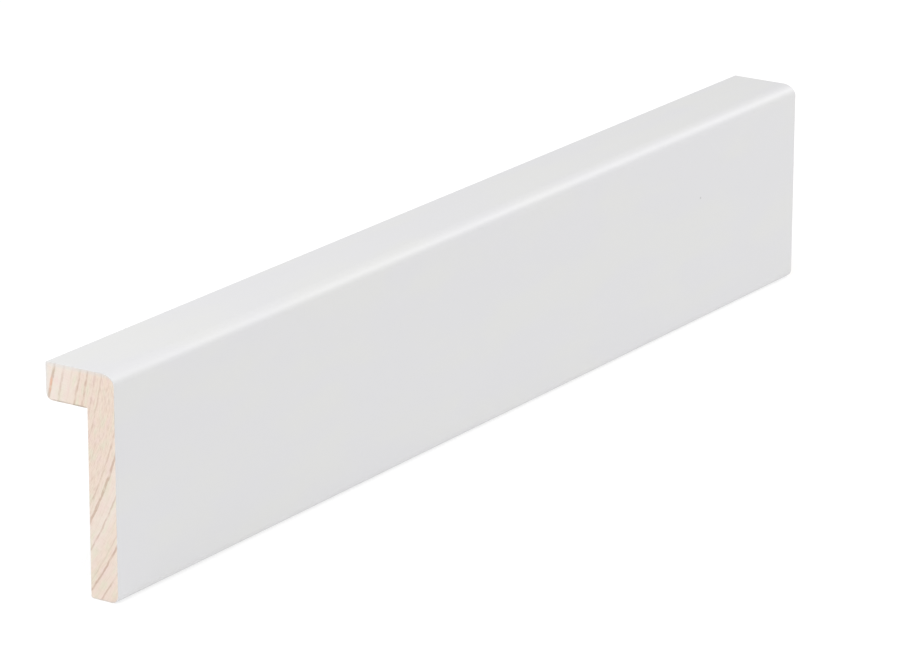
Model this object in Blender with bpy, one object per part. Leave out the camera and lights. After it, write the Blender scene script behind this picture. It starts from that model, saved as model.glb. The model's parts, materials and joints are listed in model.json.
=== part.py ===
"""Angle moulding: a rebated L-shaped trim in white-painted pine, cut square at both ends.

The moulding is one length of wood. A thin leg hangs down in front of the board that it trims,
and a thicker flange on top of the leg reaches back over the board's edge. The section is drawn
once as a flat outline and carried along the length.

Frame: metres, +X along the length, the painted show face looks to -Y, +Z is up. The origin is
the middle of the leg's back face, which is fixed against the face of the board.
"""

import math

import bpy
import numpy as np

# Driving sizes, in metres
LENGTH = 0.235
HEIGHT = 0.042
DEPTH = 0.015
LEG_THICKNESS = 0.006
FLANGE_THICKNESS = 0.007

# Rounded arrises of the section, in metres. The nose is a quarter ellipse, and the rest are
# quarter circles.
NOSE_DEPTH = 0.003
NOSE_DROP = 0.0022
TOE_FRONT_RADIUS = 0.0015
TOE_BACK_RADIUS = 0.0005
FLANGE_LOWER_RADIUS = 0.0014
FLANGE_UPPER_RADIUS = 0.0004

# Straight facets in a quarter turn of each arris
QUARTER_TURN_FACETS = 12

# Satin white paint: linear colour, roughness
PAINT_COLOUR = (0.73, 0.73, 0.735, 1.0)
PAINT_ROUGHNESS = 0.5

# A round may take up this share of the wall that it is cut on
LARGEST_ROUND_SHARE = 0.49


def clear_scene():
    """Remove every object that the file opened with."""
    for existing in list(bpy.data.objects):
        bpy.data.objects.remove(existing, do_unlink=True)


def paint_material():
    """Satin white paint over wood."""
    material = bpy.data.materials.new("satin_white_paint")
    material.use_nodes = True
    shader = material.node_tree.nodes["Principled BSDF"]
    shader.inputs["Base Color"].default_value = PAINT_COLOUR
    shader.inputs["Roughness"].default_value = PAINT_ROUGHNESS
    shader.inputs["Metallic"].default_value = 0.0
    return material


def section_corners():
    """Corners of the L in (depth, height), anticlockwise, each with the reach of its round.

    The leg's back face is at depth zero, and height zero is the middle of that face. A round
    reaches back along the side before its corner and on along the side after it.
    """
    front = -LEG_THICKNESS
    back = DEPTH - LEG_THICKNESS
    flange_underside = (HEIGHT - FLANGE_THICKNESS) / 2
    toe = -flange_underside
    top = flange_underside + FLANGE_THICKNESS
    largest_on_leg = LARGEST_ROUND_SHARE * LEG_THICKNESS
    largest_on_flange = LARGEST_ROUND_SHARE * FLANGE_THICKNESS
    toe_front = min(TOE_FRONT_RADIUS, largest_on_leg)
    toe_back = min(TOE_BACK_RADIUS, largest_on_leg)
    flange_lower = min(FLANGE_LOWER_RADIUS, largest_on_flange)
    flange_upper = min(FLANGE_UPPER_RADIUS, largest_on_flange)
    nose_depth = min(NOSE_DEPTH, LARGEST_ROUND_SHARE * DEPTH)
    nose_drop = min(NOSE_DROP, largest_on_flange)
    return [
        (front, toe, toe_front, toe_front),
        (0.0, toe, toe_back, toe_back),
        (0.0, flange_underside, 0.0, 0.0),
        (back, flange_underside, flange_lower, flange_lower),
        (back, top, flange_upper, flange_upper),
        (front, top, nose_depth, nose_drop),
    ]


def rounded_corner(before, corner, after, reach_before, reach_after):
    """Points of the quarter ellipse that rounds a square corner, or the corner where it is sharp.

    The curve leaves the side before the corner at reach_before from it, and joins the side after
    the corner at reach_after from it. Its centre is both reaches away, and the points turn about
    that centre by equal angles. Equal reaches give a quarter circle.
    """
    if min(reach_before, reach_after) <= 0.0:
        return corner[np.newaxis]
    towards_before = (before - corner) / np.linalg.norm(before - corner)
    towards_after = (after - corner) / np.linalg.norm(after - corner)
    to_before = reach_before * towards_before
    to_after = reach_after * towards_after
    turn = np.linspace(0.0, math.pi / 2, QUARTER_TURN_FACETS + 1)[:, np.newaxis]
    return corner + (1.0 - np.sin(turn)) * to_before + (1.0 - np.cos(turn)) * to_after


def section_outline():
    """The closed outline of the section, with its arrises rounded."""
    corners = section_corners()
    places = np.array([corner[:2] for corner in corners])
    stretches = [
        rounded_corner(places[i - 1], places[i], places[(i + 1) % len(places)], *corner[2:])
        for i, corner in enumerate(corners)
    ]
    return np.concatenate(stretches)


def angle_moulding(collection):
    """The whole moulding: its section as a filled flat curve, extruded along the length."""
    outline = section_outline()
    curve = bpy.data.curves.new("angle_moulding", "CURVE")
    curve.dimensions = "2D"
    curve.fill_mode = "BOTH"
    curve.extrude = LENGTH / 2

    spline = curve.splines.new("POLY")
    spline.points.add(len(outline) - 1)
    flat = np.zeros((len(outline), 4))
    flat[:, :2] = outline
    flat[:, 3] = 1.0
    spline.points.foreach_set("co", flat.ravel())
    spline.use_cyclic_u = True
    curve.materials.append(paint_material())

    moulding = bpy.data.objects.new("angle_moulding", curve)
    collection.objects.link(moulding)
    # Stand the drawing up: its x runs to the back, its y up, and the extrusion along the length
    moulding.rotation_euler = (math.pi / 2, 0.0, math.pi / 2)
    return moulding


def build():
    clear_scene()
    collection = bpy.data.collections.new("angle_moulding")
    bpy.context.scene.collection.children.link(collection)
    angle_moulding(collection)


build()
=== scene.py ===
# %% [markdown]
# # A white-painted angle moulding
#
# The object is one short length of softwood trim. Its section is an L: a thin leg that covers the
# face of a board, and a thicker flange on top that covers the board's edge. It was planed to shape,
# painted white in the length, and then cut square, so the long faces are painted and the two cut
# ends show the growth rings of the pine.
#
# The CAD solid fixes the size and the place of every face, so the script loads it first.

# %% Load the fixed frame
import json
import math

import bpy
import numpy as np
from mathutils import Matrix, Vector


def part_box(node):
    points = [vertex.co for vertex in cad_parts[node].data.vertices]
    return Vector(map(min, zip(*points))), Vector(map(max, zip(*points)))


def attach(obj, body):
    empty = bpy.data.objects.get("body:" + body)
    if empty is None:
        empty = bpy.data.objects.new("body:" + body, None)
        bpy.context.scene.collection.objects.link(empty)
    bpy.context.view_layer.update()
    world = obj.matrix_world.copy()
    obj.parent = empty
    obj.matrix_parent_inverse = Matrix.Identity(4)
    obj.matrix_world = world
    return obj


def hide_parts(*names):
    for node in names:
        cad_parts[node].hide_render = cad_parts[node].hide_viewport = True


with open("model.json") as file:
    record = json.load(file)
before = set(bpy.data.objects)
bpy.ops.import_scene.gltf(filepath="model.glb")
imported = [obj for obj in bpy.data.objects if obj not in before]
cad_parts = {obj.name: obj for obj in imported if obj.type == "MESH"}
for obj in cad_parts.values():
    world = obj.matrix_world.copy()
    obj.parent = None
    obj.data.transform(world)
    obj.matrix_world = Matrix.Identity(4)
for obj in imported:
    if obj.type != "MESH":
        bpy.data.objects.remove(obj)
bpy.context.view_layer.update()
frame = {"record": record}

MM = 0.001

# %% [markdown]
# ## The places that the solid gives
#
# A section could be drawn from typed numbers, but then it would drift from the solid when the solid
# changes. The box gives the outer faces. Two mounts of the record lie on the faces of the rebate,
# the step behind the leg that takes the board, so they give its two faces.

# %% Faces of the section
solid_low, solid_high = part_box("angle_moulding")
mount_places = {mount["name"]: mount["pos_m"] for mount in frame["record"]["mounts"]}

HALF_LENGTH = solid_high.x
FRONT, BACK = solid_low.y, solid_high.y
TOE, TOP = solid_low.z, solid_high.z
LEG_BACK = mount_places["leg_back"][1]
FLANGE_UNDERSIDE = mount_places["flange_underside"][2]

print("leg", round((LEG_BACK - FRONT) / MM, 2), "mm")
print("flange", round((TOP - FLANGE_UNDERSIDE) / MM, 2), "mm")

# %% [markdown]
# ## The rounded arrises
#
# A moulding cutter leaves no knife edge, because paint won't hold on one. The nose, where the front
# face turns into the top, has the largest round: it starts early on the top and meets the front
# quickly, as a quarter ellipse does, so its highlight is soft above and crisp below. The toe of the
# leg and the back of the flange have small quarter circles, and the inner corner of the rebate is
# sharp. The saw cut at each end has its own tiny round, where the paint film breaks and a light
# sanding takes off the burr.

# %% Radii and fineness of the surface
NOSE_DEPTH = 3.0 * MM
NOSE_DROP = 2.2 * MM
TOE_FRONT_RADIUS = 1.5 * MM
TOE_BACK_RADIUS = 0.5 * MM
FLANGE_LOWER_RADIUS = 1.4 * MM
FLANGE_UPPER_RADIUS = 0.4 * MM
CUT_ARRIS_RADIUS = 0.08 * MM

CELL = 0.15 * MM
ARRIS_STEPS = 12
CUT_ARRIS_STEPS = 4
CORNER_REACH = 2.0 * MM


def steps(length):
    """How many cells of the surface fit a length."""
    return max(2, round(length / CELL))


print("the nose takes", NOSE_DEPTH / MM, "mm of the top and", NOSE_DROP / MM, "mm of the front")


# %% [markdown]
# ## The two long sides of the section
#
# The end of an L can be filled in several ways. A fan from one point gives long slivers, and a plain
# square lattice doesn't follow the rounded outline. Here the L is taken as one bent strip: an outer
# side runs from the toe up the front and over the top, an inner side runs up the leg's back and out
# under the flange, and both have the same number of points. Lines ruled between the two sides then
# fill the whole end, and they bend round the corner with it. The bend starts a little below the
# rebate's corner and ends a little behind it.

# %% Straights and quarter rounds as whole arrays
def straight(start, end, count):
    """Points from start towards end: start + t (end - start), t in count equal steps from 0."""
    t = np.arange(count)[:, np.newaxis] / count
    return np.asarray(start) + t * (np.asarray(end) - np.asarray(start))


def round_arris(centre, radius, first, last, count):
    """Points of an arc: centre + radius (cos a, sin a), with a in equal steps from first to last.

    The angles are in degrees. Where radius is a pair, one for each direction, the arc is a piece of
    an ellipse.
    """
    a = np.radians(first + (last - first) * np.arange(count) / count)
    return np.asarray(centre) + np.stack([np.cos(a), np.sin(a)], axis=1) * radius


# %% Where the strip bends, and how many steps each stretch has
BEND_START = FLANGE_UNDERSIDE - CORNER_REACH
BEND_END = LEG_BACK + CORNER_REACH

NOSE_STEPS = 2 * steps((NOSE_DEPTH + NOSE_DROP) * math.pi / 8)
LEG_STEPS = steps(BEND_START - TOE)
FLANGE_STEPS = steps(BACK - LEG_BACK - CORNER_REACH)
SHOULDER_STEPS = steps(CORNER_REACH + TOP - FLANGE_UNDERSIDE - NOSE_DROP)
ACROSS_STEPS = steps(TOP - FLANGE_UNDERSIDE)
CORNER_STEPS = SHOULDER_STEPS + NOSE_STEPS // 2
print("steps up the leg", LEG_STEPS, "and across it", ACROSS_STEPS)

# %% Outer and inner side, from the toe to the back of the flange
toe_front = (FRONT + TOE_FRONT_RADIUS, TOE + TOE_FRONT_RADIUS)
toe_back = (LEG_BACK - TOE_BACK_RADIUS, TOE + TOE_BACK_RADIUS)
nose = (FRONT + NOSE_DEPTH, TOP - NOSE_DROP)
flange_upper = (BACK - FLANGE_UPPER_RADIUS, TOP - FLANGE_UPPER_RADIUS)
flange_lower = (BACK - FLANGE_LOWER_RADIUS, FLANGE_UNDERSIDE + FLANGE_LOWER_RADIUS)

outer_side = np.concatenate([
    round_arris(toe_front, TOE_FRONT_RADIUS, 270, 180, ARRIS_STEPS),
    straight((FRONT, TOE + TOE_FRONT_RADIUS), (FRONT, BEND_START), LEG_STEPS),
    straight((FRONT, BEND_START), (FRONT, TOP - NOSE_DROP), SHOULDER_STEPS),
    round_arris(nose, (NOSE_DEPTH, NOSE_DROP), 180, 90, NOSE_STEPS),
    straight((FRONT + NOSE_DEPTH, TOP), (BEND_END, TOP), SHOULDER_STEPS),
    straight((BEND_END, TOP), (BACK - FLANGE_UPPER_RADIUS, TOP), FLANGE_STEPS),
    round_arris(flange_upper, FLANGE_UPPER_RADIUS, 90, 0, ARRIS_STEPS),
    [(BACK, TOP - FLANGE_UPPER_RADIUS)],
])
inner_side = np.concatenate([
    round_arris(toe_back, TOE_BACK_RADIUS, 270, 360, ARRIS_STEPS),
    straight((LEG_BACK, TOE + TOE_BACK_RADIUS), (LEG_BACK, BEND_START), LEG_STEPS),
    straight((LEG_BACK, BEND_START), (LEG_BACK, FLANGE_UNDERSIDE), CORNER_STEPS),
    straight((LEG_BACK, FLANGE_UNDERSIDE), (BEND_END, FLANGE_UNDERSIDE), CORNER_STEPS),
    straight((BEND_END, FLANGE_UNDERSIDE), (flange_lower[0], FLANGE_UNDERSIDE), FLANGE_STEPS),
    round_arris(flange_lower, FLANGE_LOWER_RADIUS, 270, 360, ARRIS_STEPS),
    [(BACK, FLANGE_UNDERSIDE + FLANGE_LOWER_RADIUS)],
])
print("points on the outer and the inner side:", len(outer_side), len(inner_side))

# %% [markdown]
# ## One closed outline, and how it shrinks at a cut end
#
# The outline goes up the outer side, down the flange's back, back along the inner side and across
# the toe. At a cut end it shrinks by the small round of the arris. Every point then moves inward
# along the mitre of its two edges, which keeps straight sides straight and the inner corner square.

# %% Ruled strip, outline and mitres
along = len(outer_side) - 1
across = np.arange(ACROSS_STEPS + 1) / ACROSS_STEPS


def ruled_strip(outer, inner):
    """Lines ruled between two sides: (1 - t) outer + t inner, for every t of `across`."""
    t = across[:, np.newaxis]
    return outer[:, np.newaxis] * (1 - t) + inner[:, np.newaxis] * t


def strip_rim(grid):
    """The points round the edge of a grid in one closed loop.

    They follow the first column, the last row, the last column and the first row.
    """
    return np.concatenate([grid[:, 0], grid[-1, 1:-1], grid[::-1, -1], grid[0, -2:0:-1]])


outline = strip_rim(ruled_strip(outer_side, inner_side))
edge = np.roll(outline, -1, axis=0) - outline
edge = edge / np.linalg.norm(edge, axis=1, keepdims=True)
outward = np.stack([-edge[:, 1], edge[:, 0]], axis=1)
before = np.roll(outward, 1, axis=0)
mitre = (before + outward) / (1 + np.sum(before * outward, axis=1, keepdims=True))

girth = np.linalg.norm(np.roll(outline, -1, axis=0) - outline, axis=1).sum()
print("outline of", len(outline), "points,", round(girth / MM, 1), "mm round")

# %% [markdown]
# ## The growth rings
#
# A tree adds one ring a year. Each ring starts pale and soft in spring and ends in a thin, dark,
# dense line in late summer, and then the next one starts at once, so a ring has a soft side towards
# the pith, the centre of the tree, and a sharp side away from it. This moulding was sawn well out
# from the pith, so the rings cross its section as slanting arcs about a point up behind it.
#
# A regular wave would look like a printed pattern. Real rings differ from year to year, so each
# line has its own radius and its own darkness, and a darker line is wider as well. The ring number
# at a point is the number of lines between it and the pith, with a fraction, and both the surface
# and its colour are made from it.

# %% Radius and darkness of each dark line, from the pith outwards
PITH = np.array([73.0, 37.0]) * MM
LINE_RADII = np.array([65.7, 67.35, 69.4, 71.1, 72.85, 74.45, 76.1, 77.4, 79.0, 80.6, 82.15,
                       83.6, 85.0, 86.15, 87.8, 89.3, 90.35, 91.7, 92.85, 94.6]) * MM
LINE_DARKNESS = np.array([0.2, 1.0, 0.38, 0.16, 0.6, 0.55, 0.34, 0.36, 0.16, 0.12, 0.45,
                          0.95, 0.1, 0.6, 0.05, 0.3, 1.0, 0.1, 0.6, 0.15])


def ring_number(places):
    """Lines between the pith and each (y, z), with a fraction, read off the line radii."""
    radius = np.linalg.norm(places - PITH, axis=-1)
    return np.interp(radius, LINE_RADII, np.arange(len(LINE_RADII)))


def line_darkness(places):
    """How dark the line nearest to each (y, z) is, blended from line to line."""
    return np.interp(ring_number(places), np.arange(len(LINE_DARKNESS)), LINE_DARKNESS)


gaps = np.diff(LINE_RADII) / MM
print("rings", round(gaps.min(), 2), "to", round(gaps.max(), 2), "mm apart")

# %% [markdown]
# ## Relief of the sawn wood
#
# A saw tears the soft spring wood a little deeper than the dense dark lines, so the lines stand
# proud by a few hundredths of a millimetre, and the rest is slightly fuzzy. The fuzz is soft noise:
# random heights on a lattice, blended between neighbours. It is seeded, so it never changes.

# %% Heights of the end surface
LINE_RELIEF = 0.035 * MM
FUZZ_RELIEF = 0.014 * MM
FUZZ_SIZES = ((0.9 * MM, 0.5), (0.35 * MM, 0.5))
RELIEF_FADE = 0.5 * MM
LATTICE = 256


def soft_noise(places, size, seed):
    """Noise from 0 to 1: random numbers on a lattice of that size, blended between neighbours.

    The blend is 3 t^2 - 2 t^3, with t the share of the way from one neighbour to the next.
    """
    lattice = np.random.default_rng(seed).random((LATTICE, LATTICE))
    cell = np.floor(places / size).astype(int)
    t = places / size - cell
    t = t * t * (3 - 2 * t)
    y, z = cell[..., 0] % (LATTICE - 1), cell[..., 1] % (LATTICE - 1)
    low = lattice[y, z] * (1 - t[..., 0]) + lattice[y + 1, z] * t[..., 0]
    high = lattice[y, z + 1] * (1 - t[..., 0]) + lattice[y + 1, z + 1] * t[..., 0]
    return low * (1 - t[..., 1]) + high * t[..., 1]


def depth_below_cut(places, from_arris, seed):
    """How deep the saw left each point: deep where a ring is pale, less at its line, plus the fuzz.

    The fraction f of the ring number gives the ring's swell f^4. Within half a millimetre of the
    arris the depth fades to nothing, so the end meets its rounded edge without a step.
    """
    swell = (ring_number(places) % 1.0) ** 4 * line_darkness(places)
    fuzz = sum(share * soft_noise(places, size, seed) for size, share in FUZZ_SIZES)
    fade = np.clip((from_arris - CUT_ARRIS_RADIUS) / RELIEF_FADE, 0, 1)
    return fade * (LINE_RELIEF * (1 - swell) + FUZZ_RELIEF * fuzz)


print("relief of the sawn ends up to", round((LINE_RELIEF + FUZZ_RELIEF) / MM, 3), "mm")


# %% [markdown]
# ## Distance from the arris
#
# Paint sits on the long faces, turns over the small round of the cut, and stops with a soft, uneven
# line a fraction of a millimetre inside the end. To put that line in the right place all round, each
# point of the end carries its distance from the outline.

# %% Distance to the outline
def distance_to_outline(places):
    """Shortest distance from each (y, z) to the outline's edges.

    On each edge the nearest point is a + t (b - a), with t the place's shadow on the edge, kept
    between 0 and 1. Every fourth outline point is enough for the tiny rounds and keeps the table
    small.
    """
    a = outline[::4]
    b = np.roll(a, -1, axis=0)
    ab = b - a
    ap = places[:, np.newaxis] - a
    t = np.clip(np.sum(ap * ab, axis=2) / np.sum(ab * ab, axis=1), 0, 1)
    return np.linalg.norm(ap - t[..., np.newaxis] * ab, axis=2).min(axis=1)


# %% [markdown]
# ## The whole surface
#
# The long faces are the outline carried along the length. The rows stand close together over the
# rounded arris of each cut and wide apart between them. Each end is the ruled strip, and the edge
# of the strip uses the points of the last row, so the surface is closed without doubled points.

# %% Rows of the outline along the length
CLOSE_ROWS = np.array([0.15, 0.5, 1.5, 4.0]) * MM
FAR_ROWS = 14

turn = np.linspace(0, math.pi / 2, CUT_ARRIS_STEPS + 1)
arris_x = HALF_LENGTH - CUT_ARRIS_RADIUS * (1 - np.sin(turn))
arris_inset = CUT_ARRIS_RADIUS * (1 - np.cos(turn))
open_reach = arris_x[0] - CLOSE_ROWS
middle_x = np.linspace(-open_reach[-1], open_reach[-1], FAR_ROWS)[1:-1]
open_x = np.concatenate([-open_reach, middle_x, open_reach[::-1]])

row_x = np.concatenate([-arris_x[::-1], open_x, arris_x])
row_inset = np.concatenate([arris_inset[::-1], np.zeros(len(open_x)), arris_inset])
print(len(row_x), "rows of", len(outline), "points")


# %% Build the moulding
def moulding_surface():
    """Points, faces and point values of the closed surface.

    Row j of the long faces is outline - inset_j * mitre at x_j. An end is the ruled strip of the
    two sides moved in by the arris, at plus or minus half the length less the depth of the relief.
    """
    rows, loop = len(row_x), len(outline)
    section = outline - row_inset[:, np.newaxis, np.newaxis] * mitre
    x = np.broadcast_to(row_x[:, np.newaxis, np.newaxis], (rows, loop, 1))
    long_points = np.concatenate([x, section], axis=2).reshape(-1, 3)
    long_distance = np.repeat(row_inset, loop)

    here = np.arange(rows * loop).reshape(rows, loop)
    right = np.roll(here, -1, axis=1)
    faces = [np.stack([here[:-1], right[:-1], right[1:], here[1:]], axis=2).reshape(-1, 4)]
    points, distances = [long_points], [long_distance]

    inner_first = along + ACROSS_STEPS
    inner_last = inner_first + along
    moved = outline - CUT_ARRIS_RADIUS * mitre
    outer = moved[:along + 1]
    inner = moved[inner_first:inner_last + 1][::-1]
    strip = ruled_strip(outer, inner)
    filling = strip[1:-1, 1:-1].reshape(-1, 2)
    distance = distance_to_outline(filling)
    for side, row, seed in ((-1, 0, 3), (1, rows - 1, 5)):
        end_x = side * (HALF_LENGTH - depth_below_cut(filling, distance, seed))
        first = sum(len(p) for p in points)
        grid = np.zeros(strip.shape[:2], int)
        grid[:, 0] = here[row, :along + 1]
        grid[-1, 1:-1] = here[row, along + 1:inner_first]
        grid[:, -1] = here[row, inner_first:inner_last + 1][::-1]
        grid[0, 1:-1] = here[row, inner_last + 1:][::-1]
        grid[1:-1, 1:-1] = first + np.arange(len(filling)).reshape(grid[1:-1, 1:-1].shape)
        corners = [grid[:-1, :-1], grid[:-1, 1:], grid[1:, 1:], grid[1:, :-1]]
        quads = np.stack(corners, axis=2).reshape(-1, 4)
        faces.append(quads[:, ::-1] if side > 0 else quads)
        points.append(np.column_stack([end_x, filling]))
        distances.append(distance)
    return np.concatenate(points), np.concatenate(faces), np.concatenate(distances)


def signed_volume(points, faces):
    """Volume inside a closed quad surface, negative where the surface is inside out.

    Each quad is two triangles, and each triangle adds a . (b x c) / 6.
    """
    a, b, c, d = (points[faces[:, k]] for k in range(4))
    return (np.sum(a * np.cross(b, c)) + np.sum(a * np.cross(c, d))) / 6


points, faces, from_arris = moulding_surface()
if signed_volume(points, faces) < 0:
    faces = faces[:, ::-1]

y, z = outline.T
section_area = abs(np.sum(y * np.roll(z, -1) - z * np.roll(y, -1))) / 2
print(len(points), "points,", 2 * len(faces), "triangles")
print("volume", round(signed_volume(points, faces) * 1e6, 2), "cm3, section times length",
      round(section_area * 2 * HALF_LENGTH * 1e6, 2), "cm3")

# %% [markdown]
# ## Values that the finish reads
#
# A finish that follows the form needs to know where on the form it is. Each point carries its
# distance from the cut's arris, its ring number, the darkness of its ring, the ring's warmth, how
# much the saw tore it, and whether it is in the rebate, which got a thinner coat because nobody sees
# it once it is fitted.

# %% Point values
YEARS = np.array([66.0, 70.0, 73.5, 76.5, 79.5, 82.0, 84.0, 86.5, 88.3, 89.7, 91.5, 95.0]) * MM
WARMTH = np.array([0.05, 0.2, 0.8, 0.8, 0.9, 0.85, 0.5, 0.25, 0.75, 0.85, 0.55, 0.75])
TORN = np.array([0.1, 0.15, 0.55, 0.8, 1.0, 0.8, 0.35, 0.25, 0.45, 0.5, 0.3, 0.4])
COAT_FADE = 0.4 * MM

section_places = points[:, 1:]
from_pith = np.linalg.norm(section_places - PITH, axis=1)
ring = ring_number(section_places)
darkness = line_darkness(section_places)
warmth = np.interp(from_pith, YEARS, WARMTH)
torn = np.interp(from_pith, YEARS, TORN)
into_rebate = np.minimum(points[:, 1] - LEG_BACK, FLANGE_UNDERSIDE - points[:, 2]) + COAT_FADE
thin_coat = np.clip(into_rebate / COAT_FADE, 0, 1)
print("points in the thin coat:", int(np.sum(thin_coat > 0)))

# %% Put the surface into a mesh
mesh = bpy.data.meshes.new("painted_moulding")
mesh.vertices.add(len(points))
mesh.vertices.foreach_set("co", points.ravel())
mesh.loops.add(faces.size)
mesh.loops.foreach_set("vertex_index", faces.ravel())
mesh.polygons.add(len(faces))
mesh.polygons.foreach_set("loop_start", np.arange(0, faces.size, 4))
mesh.polygons.foreach_set("use_smooth", np.ones(len(faces), bool))
mesh.update(calc_edges=True)
for name, values in (("from_arris", from_arris / MM), ("ring", ring), ("darkness", darkness),
                     ("warmth", warmth), ("torn", torn), ("thin_coat", thin_coat)):
    mesh.attributes.new(name, "FLOAT", "POINT").data.foreach_set("value", values.astype(np.float32))
print("mesh is valid:", not mesh.validate())

moulding = bpy.data.objects.new("painted_moulding", mesh)
bpy.context.scene.collection.objects.link(moulding)
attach(moulding, "root")
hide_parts("angle_moulding")

# %% [markdown]
# ## Shader maths as Python
#
# A finish is a net of small nodes. Written out one by one, a formula such as a (1 - m) + b m takes
# ten lines and hides what it says. So a small class wraps one socket and gives it Python's
# operators, each of which adds a Math node, and one method adds every other kind of node.

# %% A socket with operators, and a finish that adds nodes
class Wire:
    """One output socket of a finish. Its operators add Math nodes, also with a number on the left."""

    def __init__(self, finish, socket):
        self.finish = finish
        self.socket = socket

    def maths(self, operation, *values):
        """A Math node of that operation on the values, in their order."""
        return self.finish.add("ShaderNodeMath", {"operation": operation}, dict(enumerate(values)))

    def __add__(self, other):
        return self.maths("ADD", self, other)

    def __sub__(self, other):
        return self.maths("SUBTRACT", self, other)

    def __rsub__(self, other):
        return self.maths("SUBTRACT", other, self)

    def __mul__(self, other):
        return self.maths("MULTIPLY", self, other)

    def __pow__(self, other):
        return self.maths("POWER", self, other)

    __radd__ = __add__
    __rmul__ = __mul__

    def fraction(self):
        """What is left of the value above the whole number below it."""
        return self.maths("FRACT", self)


class Finish:
    """A material under way: add puts in any node, and its other methods are short names for some."""

    def __init__(self, name):
        self.material = bpy.data.materials.new(name)
        self.material.use_nodes = True
        self.nodes = self.material.node_tree.nodes
        self.links = self.material.node_tree.links
        self.shader = self.nodes["Principled BSDF"]

    def feed(self, node, sockets):
        """Give a node's sockets their values, or link them to wires."""
        for key, value in sockets.items():
            if isinstance(value, Wire):
                self.links.new(value.socket, node.inputs[key])
            else:
                node.inputs[key].default_value = value

    def add(self, kind, settings=None, sockets=None, output=0):
        """Add a node of a kind: its settings first, then the values or wires of its sockets."""
        node = self.nodes.new(kind)
        for name, value in (settings or {}).items():
            setattr(node, name, value)
        self.feed(node, sockets or {})
        return Wire(self, node.outputs[output])

    def value(self, name):
        """A value that the mesh carries at its points."""
        return self.add("ShaderNodeAttribute", {"attribute_name": name}, output="Fac")

    def coordinate(self, place, axis):
        """One coordinate of a place, by the letter of its axis."""
        return self.add("ShaderNodeSeparateXYZ", {}, {"Vector": place}, axis)

    def mix(self, share, first, second):
        """A colour, from first where share is 0 to second where it is 1."""
        colours = {0: share, 6: first, 7: second}
        return self.add("ShaderNodeMix", {"data_type": "RGBA"}, colours, output=2)

    def noise(self, place, size, stretch=(1, 1, 1), detail=2.0):
        """Noise from 0 to 1 in blobs of `size` metres, stretched along the axes by `stretch`."""
        scale = tuple(1 / (size * times) for times in stretch)
        place = self.add("ShaderNodeMapping", {}, {"Vector": place, "Scale": scale})
        sockets = {"Vector": place, "Scale": 1.0, "Detail": detail}
        return self.add("ShaderNodeTexNoise", {}, sockets)

    def step(self, value, low, high):
        """0 below low, 1 above high, smooth between."""
        return self.add("ShaderNodeMapRange", {"interpolation_type": "SMOOTHSTEP"},
                        {"Value": value, "From Min": low, "From Max": high})


# %% [markdown]
# ## The paint
#
# The long faces have a factory coat of satin white. Such a coat is never one flat colour: it is a
# little cooler or warmer in soft patches, it keeps a very fine orange peel from the spray, and the
# grain of the pine shows through it as long, low ripples. Within about a millimetre of the toe the
# paint is made greyer, as painted shade where the floor shades the toe's round. In the rebate the
# coat is thinner and duller, and the wood tints it.

# %% Satin white paint
COOL_WHITE = (0.726, 0.724, 0.736, 1)
WARM_WHITE = (0.733, 0.732, 0.727, 1)
THIN_WHITE = (0.695, 0.68, 0.65, 1)
# The grey of the painted shade at the toe
TOE_SHADE_GREY = (0.62, 0.62, 0.625, 1)
SPECK_GREY = (0.45, 0.45, 0.46, 1)
SPECK_PLACE = (79.1 * MM, FRONT, 9.1 * MM)

# Heights in micrometres of the orange peel, the long ripples and the rings under the paint
PEEL, RIPPLE, RING_PRINT = 3.0, 2.5, 2.0


def white_paint(finish, place):
    """Colour, roughness and height in micrometres of the paint at each place."""
    patches = finish.noise(place, 9 * MM, (3, 1, 1))
    colour = finish.mix(finish.step(patches, 0.4, 0.65), COOL_WHITE, WARM_WHITE)

    streaks = finish.noise(place, 0.8 * MM, (60, 1, 1), 3.0)
    thin = finish.value("thin_coat") * (0.1 + 1.2 * streaks)
    colour = finish.mix(thin, colour, THIN_WHITE)

    # Painted shade: the paint turns greyer within about a millimetre of the toe, where the floor
    # shades it
    painted_toe_shade = 1 - finish.step(finish.coordinate(place, "Z"), TOE + 0.3 * MM, TOE + 1.3 * MM)
    colour = finish.mix(0.6 * painted_toe_shade, colour, TOE_SHADE_GREY)

    from_speck = {0: place, 1: SPECK_PLACE}
    reach = finish.add("ShaderNodeVectorMath", {"operation": "DISTANCE"}, from_speck, "Value")
    speck = 1 - finish.step(reach, 0.1 * MM, 0.3 * MM)
    colour = finish.mix(0.8 * speck, colour, SPECK_GREY)

    peel = finish.noise(place, 1.1 * MM, (1, 1, 1), 1.0)
    wander = finish.noise(place, 7 * MM, (6, 1, 1), 1.0)
    grain = (finish.value("ring") + 0.5 * wander).fraction()
    height = PEEL * peel + RIPPLE * streaks + RING_PRINT * finish.value("darkness") * grain ** 3
    roughness = 0.47 + 0.08 * streaks + 0.12 * finish.value("thin_coat")
    return colour, roughness, height


# %% [markdown]
# ## The end grain
#
# The sawn end is raw pine, and its colour is built in layers. The wood between the lines goes from
# cream to a pinkish beige with the warmth of its ring, with soft patches of straw and of pink drawn
# out along the rings. The late part of each ring darkens it to a thin brown line, which is not even:
# it fades and breaks off where the saw tore it. Short torn strokes lie beside the lines, most of all
# in the years that the saw tore, and fine rays run across the rings. Strokes and rays are easiest to
# draw in turned coordinates: the radius from the pith and the arc length about it.

# %% Colours of the sawn wood
CREAM = (0.845, 0.76, 0.69, 1)
BEIGE = (0.835, 0.695, 0.59, 1)
STRAW = (0.775, 0.745, 0.60, 1)
PINK = (0.85, 0.69, 0.64, 1)
LATE_BROWN = (0.45, 0.275, 0.19, 1)
RESIN = (0.84, 0.48, 0.34, 1)
RESIN_PLACE = np.array([-HALF_LENGTH, 7.8 * MM, 20.2 * MM])
RESIN_SPREAD = (1 * MM, 0.5 * MM, 1.8 * MM)
MIDDLE_RADIUS = 80 * MM

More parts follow.
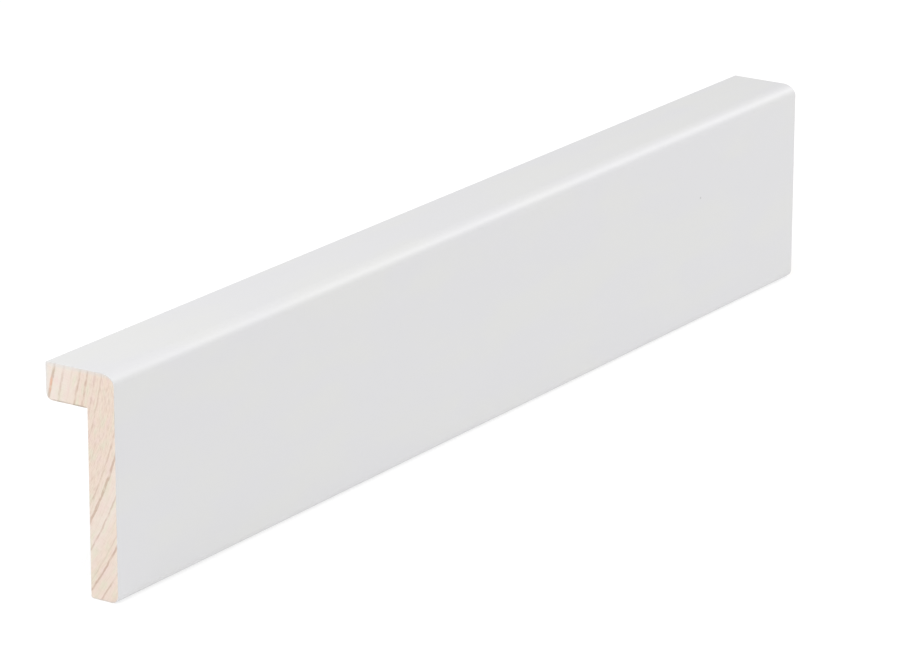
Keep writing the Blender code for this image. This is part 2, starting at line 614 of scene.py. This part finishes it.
# Heights in micrometres of the rays, the torn strokes and the dark lines
RAY_RELIEF, STROKE_RELIEF, LATE_RELIEF = 8.0, 14.0, 8.0
print("the streak of resin is", round(2 * RESIN_SPREAD[2] / MM, 1), "mm long")


# %% Raw end grain of pine
def turned_coordinates(finish, place):
    """Radius from the pith and arc length about it, as the x and y of a vector."""
    places = {0: place, 1: (0, *PITH)}
    offset = finish.add("ShaderNodeVectorMath", {"operation": "SUBTRACT"}, places)
    y = finish.coordinate(offset, "Y")
    z = finish.coordinate(offset, "Z")
    radius = (y * y + z * z) ** 0.5
    angle = finish.add("ShaderNodeMath", {"operation": "ARCTAN2"}, {0: -1 * z, 1: -1 * y})
    arc = angle * MIDDLE_RADIUS
    return finish.add("ShaderNodeCombineXYZ", {}, {"X": radius, "Y": arc})


def end_grain(finish, place):
    """Colour, roughness and height in micrometres of the sawn wood at each place."""
    turned = turned_coordinates(finish, place)
    rays = finish.noise(turned, 0.16 * MM, (12, 1, 1), 2.0)
    mottle = finish.noise(place, 1.6 * MM, (1, 1, 1), 3.0)
    strokes = finish.noise(turned, 0.17 * MM, (1, 9, 1), 1.0)
    tint = finish.noise(turned, 1.3 * MM, (1, 3, 1), 1.0)
    broken = finish.noise(turned, 0.7 * MM, (1, 3, 1), 2.0)

    colour = finish.mix(finish.value("warmth") + 0.7 * (mottle - 0.5), CREAM, BEIGE)
    colour = finish.mix(0.7 * finish.step(tint, 0.5, 0.75), colour, STRAW)
    colour = finish.mix(0.6 * (1 - finish.step(tint, 0.27, 0.48)), colour, PINK)

    wobble = 0.3 * (finish.noise(place, 1.3 * MM, (1, 1, 1), 3.0) - 0.5)
    part = (finish.value("ring") + wobble).fraction()
    start = 1.08 - 0.3 * finish.value("darkness")
    line = finish.step(part, start - 0.2, start) + 0.8 * (1 - finish.step(part, 0.0, 0.12))
    whole = line * finish.value("darkness") * (0.4 + 1.1 * finish.step(broken, 0.3, 0.6))
    late = finish.add("ShaderNodeMath", {"operation": "MINIMUM"}, {0: whole, 1: 1.0})
    torn = finish.value("torn") * finish.step(strokes, 0.38, 0.78)
    colour = finish.mix(0.5 * late + 0.32 * torn, colour, LATE_BROWN)
    colour = finish.mix(0.1 * finish.step(rays, 0.5, 0.75), colour, LATE_BROWN)

    spread = finish.add("ShaderNodeMapping", {"vector_type": "TEXTURE"},
                        {"Vector": place, "Location": RESIN_PLACE, "Scale": RESIN_SPREAD})
    reach = finish.add("ShaderNodeVectorMath", {"operation": "LENGTH"}, {0: spread}, "Value")
    colour = finish.mix(0.65 * late * (1 - finish.step(reach, 0.5, 1.3)), colour, RESIN)

    height = RAY_RELIEF * rays + STROKE_RELIEF * strokes + LATE_RELIEF * late
    roughness = 0.72 + 0.12 * mottle
    return colour, roughness, height


# %% [markdown]
# ## One finish for the whole piece
#
# Paint and wood meet on the cut arris. Two separate materials would meet along the faces of the
# mesh with a hard, even step. One finish with a mask gives the real edge: full paint on the long
# faces and round the arris, then a smear of paint dust that thins out over a quarter of a
# millimetre of the wood, and over a wider band along the top and the flange's back. Under the
# flange and along the toe the cut end is made a darker brown in uneven blotches, as painted shade
# where those edges face down.

# %% The masks at the cut
# Distances from the arris, in millimetres: where the paint stops, where the wood is fully bare,
# where the sawn relief starts and is whole, and where the smear ends
PAINT_EDGE, BARE_EDGE = 0.004, 0.034
RELIEF_START, RELIEF_WHOLE = 0.05, 0.3
SMEAR_END = 0.25

# Strength of the smear along the top and along the flange's back, and of the painted shade along the
# flange's underside and the toe
TOP_SMEAR, BACK_SMEAR = 0.55, 0.6
FLANGE_EDGE_SHADE, TOE_EDGE_SHADE = 0.85, 0.3
CHALKY_WHITE = (0.745, 0.743, 0.735, 1)
REBATE_RIM = (0.74, 0.73, 0.68, 1)
# The brown of the painted shade along the lower edges of the cut end
EDGE_SHADE_BROWN = (0.36, 0.29, 0.23, 1)
print("the smear of paint ends", SMEAR_END, "mm inside the arris")

# %% Paint, wood and where the wood is bare
painted_pine = Finish("painted_pine")
place = painted_pine.add("ShaderNodeTexCoord", output="Object")
paint_colour, paint_roughness, paint_height = white_paint(painted_pine, place)
wood_colour, wood_roughness, wood_height = end_grain(painted_pine, place)

ragged = painted_pine.noise(place, 0.5 * MM, (1, 1, 1), 3.0) - 0.5
inward = painted_pine.value("from_arris")
bare = painted_pine.step(inward, PAINT_EDGE, BARE_EDGE)
sawn = painted_pine.step(inward, RELIEF_START, RELIEF_WHOLE)
side_y = painted_pine.coordinate(place, "Y")
side_z = painted_pine.coordinate(place, "Z")

# %% The smear of paint on the cut end
smear = 1 - painted_pine.step(inward + 0.3 * ragged, 0.0, SMEAR_END)
wander = 0.5 * MM * ragged
from_top = painted_pine.step(side_z + wander, TOP - 1.1 * MM, TOP - 0.1 * MM)
from_back = painted_pine.step(side_y + wander, BACK - 0.8 * MM, BACK - 0.1 * MM)
on_flange = painted_pine.step(side_y, LEG_BACK, LEG_BACK + 0.3 * MM)
above_underside = painted_pine.step(
    side_z, FLANGE_UNDERSIDE + 0.08 * MM, FLANGE_UNDERSIDE + 0.38 * MM)
well_above = painted_pine.step(
    side_z, FLANGE_UNDERSIDE + 0.5 * MM, FLANGE_UNDERSIDE + 1.0 * MM)
under_flange = on_flange * (1 - above_underside)
near_underside = on_flange * (1 - well_above)

smear = smear * (1 - 0.6 * painted_pine.value("thin_coat")) * (1 - 0.85 * near_underside)
smear = 1 - (1 - 0.85 * smear) * (1 - TOP_SMEAR * from_top) * (1 - BACK_SMEAR * from_back)
rim_colour = painted_pine.mix(painted_pine.value("thin_coat"), CHALKY_WHITE, REBATE_RIM)
end_colour = painted_pine.mix(smear, wood_colour, rim_colour)

# %% The painted shade along the lower edges, and the whole finish
along_toe = 1 - painted_pine.step(side_z, TOE + 0.05 * MM, TOE + 0.35 * MM)
patches = painted_pine.noise(place, 0.9 * MM, (1, 1, 1), 2.0)
blotches = 0.35 + 0.65 * painted_pine.step(patches, 0.35, 0.65)
# Painted shade: the cut end turns a darker brown in blotches along the flange's underside and the
# toe, where those edges face down
painted_edge_shade = (FLANGE_EDGE_SHADE * under_flange + TOE_EDGE_SHADE * along_toe) * blotches
end_colour = painted_pine.mix(painted_edge_shade, end_colour, EDGE_SHADE_BROWN)

painted_pine.feed(painted_pine.shader, {
    "Base Color": painted_pine.mix(bare, paint_colour, end_colour),
    "Roughness": paint_roughness * (1 - bare) + wood_roughness * bare,
    "Normal": painted_pine.add("ShaderNodeBump", {}, {
        "Height": paint_height * (1 - sawn) + wood_height * sawn,
        "Distance": 0.001 * MM,
    }),
})
mesh.materials.append(painted_pine.material)
print("nodes in the finish:", len(painted_pine.nodes))

# %% [markdown]
# ## Floor and light
#
# White on white is lit softly from all round, so that no face goes grey and no shadow draws a hard
# line. Most of the light is the pale room itself. The floor gives about half of its brightness
# itself, as a table lit from below does, which thins the shadow at the toe. Two soft lights over
# the near end make the top a little brighter there, and a weak one in front lifts the middle of the
# front face. The last stands far off to the right, where the satin paint of the nose mirrors it as
# a bright line.

# %% A pale floor under the toe
FLOOR_RADIUS = 6.0
FLOOR_RINGS = 24
FLOOR_SIDES = 96
FLOOR_GLOW = 0.547


def floor_disc():
    """A round floor: (r cos a, r sin a) on a grid of radius r and angle a.

    The radius grows as the square of its step, so the rings are close under the moulding.
    """
    r = FLOOR_RADIUS * (np.arange(1, FLOOR_RINGS + 1) / FLOOR_RINGS) ** 2
    a = np.linspace(0, 2 * math.pi, FLOOR_SIDES, endpoint=False)
    flat = np.stack([np.outer(r, np.cos(a)), np.outer(r, np.sin(a))], axis=2).reshape(-1, 2)
    centre = len(flat)
    here = np.arange(centre).reshape(FLOOR_RINGS, FLOOR_SIDES)
    right = np.roll(here, -1, axis=1)
    quads = np.stack([here[:-1], here[1:], right[1:], right[:-1]], axis=2).reshape(-1, 4)
    middle = np.column_stack([np.full(FLOOR_SIDES, centre), here[0], right[0]])
    places = np.vstack([flat, [0, 0]])
    heights = np.full(len(places), TOE)
    return np.column_stack([places, heights]).tolist(), quads.tolist() + middle.tolist()


floor_points, floor_faces = floor_disc()
floor_mesh = bpy.data.meshes.new("floor")
floor_mesh.from_pydata(floor_points, [], floor_faces)
floor = bpy.data.objects.new("floor", floor_mesh)
bpy.context.scene.collection.objects.link(floor)
print("floor of", len(floor_faces), "faces, its radius", FLOOR_RADIUS, "m")

# %% Finish of the floor
FLOOR_DARKER = (0.49, 0.49, 0.49, 1)
FLOOR_LIGHTER = (0.51, 0.51, 0.51, 1)

pale = Finish("pale_floor")
floor_place = pale.add("ShaderNodeTexCoord", output="Object")
pale.feed(pale.shader, {
    "Base Color": pale.mix(pale.noise(floor_place, 60 * MM), FLOOR_DARKER, FLOOR_LIGHTER),
    "Roughness": 0.9,
    "Specular IOR Level": 0.2,
    "Emission Color": (1, 1, 1, 1),
    "Emission Strength": FLOOR_GLOW,
})
floor_mesh.materials.append(pale.material)

# %% Room light and soft lights
ROOM_LIGHT = 0.63

studio = bpy.data.worlds.new("studio")
studio.use_nodes = True
studio.node_tree.nodes["Background"].inputs["Color"].default_value = (1, 1, 1, 1)
studio.node_tree.nodes["Background"].inputs["Strength"].default_value = ROOM_LIGHT
bpy.context.scene.world = studio


def soft_light(name, place, aim, size, power):
    """A rectangular light of a size in metres that looks from its place at its aim."""
    data = bpy.data.lights.new(name, "AREA")
    data.shape = "RECTANGLE"
    data.size, data.size_y = size
    data.energy = power
    light = bpy.data.objects.new(name, data)
    light.location = place
    light.rotation_euler = (Vector(place) - Vector(aim)).to_track_quat("Z", "Y").to_euler()
    bpy.context.scene.collection.objects.link(light)
    print(name, power, "W,", round(Vector(place).length, 2), "m away")


soft_light("soft_above_left", place=(-0.35, -0.03, 0.75), aim=(-0.05, 0, 0),
           size=(0.5, 0.3), power=1.45)
soft_light("soft_near_end", place=(-0.32, 0.12, 0.28), aim=(-0.10, 0, 0),
           size=(0.25, 0.25), power=0.296)
soft_light("soft_front", place=(0.25, -0.75, 0.45), aim=(0.03, 0, 0),
           size=(0.6, 0.4), power=0.504)
soft_light("soft_right", place=(1.26, -0.40, 0.82), aim=(0, 0, 0),
           size=(0.75, 0.45), power=7.18)

# %% [markdown]
# ## Camera
#
# The photograph is taken from far off with a long lens, so the moulding tapers only slightly. The
# camera's place and turn were found by fitting the edges of the section to the photograph. The
# matrix is written from the three directions right, up and back of the camera.

# %% Place the camera
IMAGE_WIDTH = 900
FOCAL_PIXELS = 4840.2
SENSOR_MM = 36.0
CAMERA_PLACE = Vector((-742.35, -491.5, 285.23)) * MM
YAW, PITCH, ROLL = (math.radians(angle) for angle in (33.666, 17.713, 0.105))

ahead = Vector((math.cos(YAW) * math.cos(PITCH), math.sin(YAW) * math.cos(PITCH), -math.sin(PITCH)))
level_right = Vector((math.sin(YAW), -math.cos(YAW), 0))
level_up = level_right.cross(ahead)
right = math.cos(ROLL) * level_right + math.sin(ROLL) * level_up
up = -math.sin(ROLL) * level_right + math.cos(ROLL) * level_up

lens = bpy.data.cameras.new("camera")
lens.sensor_width = SENSOR_MM
lens.lens = FOCAL_PIXELS / IMAGE_WIDTH * SENSOR_MM
lens.clip_end = 100
camera = bpy.data.objects.new("camera", lens)
turned = Matrix((right, up, -ahead)).transposed().to_4x4()
camera.matrix_world = Matrix.Translation(CAMERA_PLACE) @ turned
bpy.context.scene.collection.objects.link(camera)
bpy.context.scene.camera = camera
bpy.context.scene.view_settings.view_transform = "Standard"
print("lens", round(lens.lens, 1), "mm,", round(CAMERA_PLACE.length, 3), "m away")
